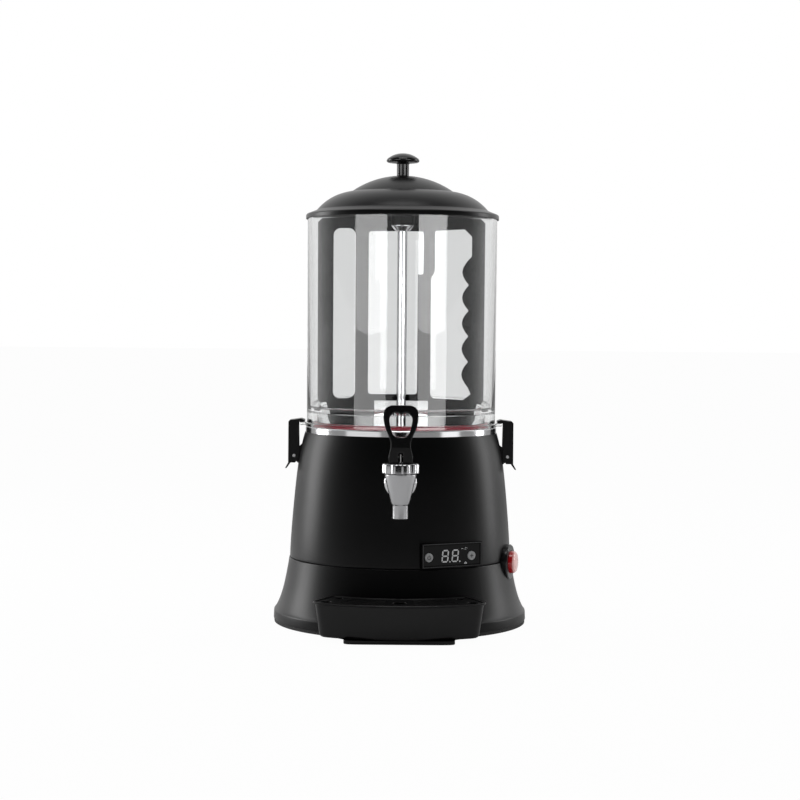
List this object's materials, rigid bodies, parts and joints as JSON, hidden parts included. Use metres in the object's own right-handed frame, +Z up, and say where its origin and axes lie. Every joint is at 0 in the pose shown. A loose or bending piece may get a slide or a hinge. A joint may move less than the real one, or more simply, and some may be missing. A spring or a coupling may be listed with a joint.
{
  "type": "hot chocolate dispenser",
  "caption": "Countertop hot drink dispenser: clear round tank with stirrer and lid on a heated black base, with lever tap, drip tray, side latches and control panel.",
  "frame": {"origin": "on the worktop, on the tank's axis, at the middle of the foot ring", "axes": "+Z up along the tank's axis, -Y towards the tap and the user, +X towards the power button"},
  "size_m": [0.312, 0.3572, 0.58],
  "materials": {
    "casing_black": "satin black",
    "lid_black": "satin black moulded",
    "clear_tank": "clear moulded tank",
    "seal_red": "matt red silicone",
    "steel": "brushed",
    "polished_steel": "polished",
    "paddle_black": "satin black moulded",
    "handle_black": "glossy black moulded",
    "latch_black": "satin black moulded",
    "tray_black": "satin black moulded",
    "panel_black": "glossy black",
    "key_grey": "grey keys",
    "display_grey": "dark display body",
    "board_green": "circuit board",
    "lens_red": "translucent red",
    "bezel_black": "black bezel",
    "switch_white": "nylon switch body",
    "rubber_black": "black rubber",
    "silicone_clear": "silicone",
    "bronze": "sintered bronze",
    "nylon": "white nylon",
    "zinc_steel": "zinc plated",
    "motor_grey": "grey lacquer"
  },
  "bodies": {
    "root": {"base_plate": "zinc_steel", "base_screws": "zinc_steel", "button_bezel": "bezel_black", "cable_gland": "rubber_black", "centre_column": "polished_steel", "control_bezel": "panel_black", "control_board": "board_green", "control_window": "panel_black", "display_module": "display_grey", "foot_ring": "rubber_black", "gearbox": "motor_grey", "gearmotor": "zinc_steel", "heated_bowl": "polished_steel", "heating_element": "steel", "latch_bracket_left": "latch_black", "latch_bracket_right": "latch_black", "latch_pin_left": "polished_steel", "latch_pin_right": "polished_steel", "lower_bush": "bronze", "lower_skirt": "casing_black", "motor_bracket": "zinc_steel", "switch_body": "switch_white", "tank_seal": "seal_red", "tank_shell": "clear_tank", "tap_body": "steel", "tap_bonnet": "steel", "tap_collar": "polished_steel", "tap_gasket": "silicone_clear", "tap_locknut": "steel", "temperature_sensor": "steel", "upper_bush": "bronze", "upper_housing": "casing_black", "water_jacket": "steel"},
    "lid": {"lid_shell": "lid_black", "lid_knob": "lid_black", "knob_screw": "zinc_steel"},
    "stirrer": {"stirrer_paddle": "paddle_black", "stirrer_cone": "polished_steel", "stirrer_nut": "nylon", "drive_shaft": "steel", "shaft_collar": "zinc_steel"},
    "latch_left": {"latch_lever_left": "latch_black"},
    "latch_right": {"latch_lever_right": "latch_black"},
    "valve": {"valve_stem": "polished_steel", "seat_cup": "silicone_clear"},
    "handle": {"tap_handle": "handle_black", "handle_pin": "polished_steel"},
    "tray": {"drip_tray": "tray_black"},
    "grille": {"drip_grille": "tray_black"},
    "key_left": {"control_key_left": "key_grey"},
    "key_right": {"control_key_right": "key_grey"},
    "button": {"power_button": "lens_red"}
  },
  "joints": [
    {"name": "lid_lift", "type": "slide", "parent": "root", "child": "lid", "axis": [0, 0, 1], "range_m": [0, 0.12]},
    {"name": "stirrer_spin", "type": "hinge", "parent": "root", "child": "stirrer", "pos_m": [0, 0, 0.3], "axis": [0, 0, 1], "continuous": true},
    {"name": "latch_right_open", "type": "hinge", "parent": "root", "child": "latch_right", "pos_m": [0.1322, 0, 0.204], "axis": [0, 1, 0], "range_deg": [0, 24], "stiffness_Nm_per_rad": 0.15, "springref_deg": -11.46},
    {"name": "latch_left_open", "type": "hinge", "parent": "root", "child": "latch_left", "pos_m": [-0.1322, 0, 0.204], "axis": [0, -1, 0], "range_deg": [0, 24], "stiffness_Nm_per_rad": 0.15, "springref_deg": -11.46},
    {"name": "valve_lift", "type": "slide", "parent": "root", "child": "valve", "axis": [0, 0, 1], "range_m": [0, 0.005]},
    {"name": "tap_pull", "type": "hinge", "parent": "valve", "child": "handle", "pos_m": [0, -0.174, 0.2145], "axis": [1, 0, 0], "range_deg": [0, 30], "stiffness_Nm_per_rad": 0.4, "springref_deg": -17.19},
    {"name": "tray_slide", "type": "slide", "parent": "root", "child": "tray", "axis": [0, -1, 0], "range_m": [0, 0.12]},
    {"name": "grille_lift", "type": "slide", "parent": "tray", "child": "grille", "axis": [0, 0, 1], "range_m": [0, 0.05]},
    {"name": "key_left_press", "type": "slide", "parent": "root", "child": "key_left", "axis": [-0.454, 0.891, 0], "range_m": [0, 0.0008], "stiffness_N_per_m": 800},
    {"name": "key_right_press", "type": "slide", "parent": "root", "child": "key_right", "axis": [-0.454, 0.891, 0], "range_m": [0, 0.0008], "stiffness_N_per_m": 800},
    {"name": "power_press", "type": "slide", "parent": "root", "child": "button", "axis": [-0.9563, 0.2924, 0], "range_m": [0, 0.003], "stiffness_N_per_m": 500}
  ],
  "couplings": [
    {"joint": "valve_lift", "follows": "tap_pull", "m_per_rad": 0.0095}
  ]
}
